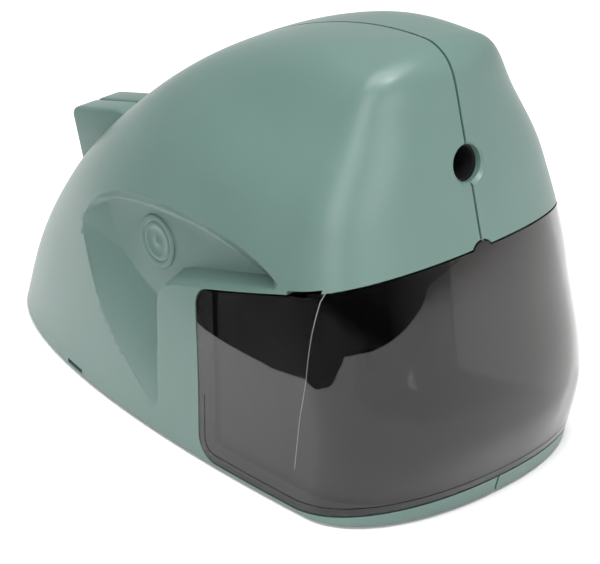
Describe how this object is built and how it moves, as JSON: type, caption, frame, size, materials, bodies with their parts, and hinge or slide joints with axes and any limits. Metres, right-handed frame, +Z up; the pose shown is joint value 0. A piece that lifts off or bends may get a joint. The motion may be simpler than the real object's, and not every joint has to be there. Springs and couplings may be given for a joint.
{
  "type": "electric pencil sharpener",
  "caption": "Desktop electric pencil sharpener: sloping two-part housing, angled pencil hole, pull-out clear receptacle, geared cutter head and small motor.",
  "frame": {"origin": "on the table under the middle of the housing's length and width", "axes": "+Z up; the pencil hole faces -Y; +X to the right of someone behind it looking along +Y is the right half"},
  "size_m": [0.0874, 0.1774, 0.115],
  "materials": {
    "housing": "fine matt texture",
    "smoked": "polished smoked clear plastic",
    "black_plastic": "satin",
    "steel": "turned",
    "cutter_steel": "ground",
    "zinc": "die-cast grey",
    "white_plastic": "satin",
    "brass": "turned",
    "lamination": "stacked sheet",
    "copper": "enamelled wire",
    "rubber": "matt",
    "red_plastic": "satin"
  },
  "bodies": {
    "base": {"left_housing": "housing", "right_housing": "housing", "pencil_guide": "black_plastic", "chassis": "black_plastic", "ring_gear": "zinc", "idler_shaft": "steel", "stator_core": "lamination", "coil_bobbin": "white_plastic", "coil_winding": "copper", "front_bracket": "zinc", "rear_bracket": "zinc", "motor_bushes": "brass", "motor_bolts": "steel", "lever_pin": "steel", "switch_body": "black_plastic", "interlock_guide": "black_plastic", "interlock_spring": "steel", "cord_gland": "rubber", "rubber_feet": "rubber", "foot_plugs": "rubber", "ballast": "lamination", "housing_screws": "steel"},
    "receptacle": {"shavings_receptacle": "smoked"},
    "motor_rotor": {"motor_shaft": "steel", "rotor": "lamination", "motor_pinion": "brass", "fan": "black_plastic"},
    "idler": {"idler_gear": "white_plastic"},
    "carrier": {"cutter_carrier": "zinc", "carrier_gear": "white_plastic", "cutter_axle": "steel"},
    "cutter_spindle": {"cutter": "cutter_steel", "cutter_pinion": "steel"},
    "lever": {"switch_lever": "white_plastic"},
    "plunger": {"interlock_plunger": "red_plastic"}
  },
  "joints": [
    {"name": "receptacle_slide", "type": "slide", "parent": "base", "child": "receptacle", "axis": [0, -0.9893, 0.1461], "range_m": [0, 0.078]},
    {"name": "motor_spin", "type": "hinge", "parent": "base", "child": "motor_rotor", "pos_m": [0, 0.01048, 0.03461], "axis": [0, 0.9781, -0.2079], "continuous": true},
    {"name": "idler_spin", "type": "hinge", "parent": "base", "child": "idler", "pos_m": [0.0082, -0.01775, 0.05572], "axis": [0, 0.9781, -0.2079], "continuous": true},
    {"name": "carrier_spin", "type": "hinge", "parent": "base", "child": "carrier", "pos_m": [0, -0.03331, 0.07868], "axis": [0, 0.9781, -0.2079], "continuous": true},
    {"name": "cutter_spin", "type": "hinge", "parent": "carrier", "child": "cutter_spindle", "pos_m": [0.0104, -0.05024, 0.08228], "axis": [-0.1908, 0.9602, -0.2041], "continuous": true},
    {"name": "lever_tilt", "type": "hinge", "parent": "base", "child": "lever", "pos_m": [0, -0.05769, 0.09388], "axis": [-1, 0, 0], "range_deg": [0, 8], "stiffness_Nm_per_rad": 0.02},
    {"name": "plunger_lift", "type": "slide", "parent": "base", "child": "plunger", "axis": [0, 0, 1], "range_m": [0, 0.0025], "stiffness_N_per_m": 60, "deforming": ["interlock_spring"]}
  ],
  "couplings": [
    {"joint": "idler_spin", "follows": "motor_spin", "ratio": -0.3125},
    {"joint": "carrier_spin", "follows": "motor_spin", "ratio": 0.09375},
    {"joint": "cutter_spin", "follows": "motor_spin", "ratio": -0.3375}
  ]
}
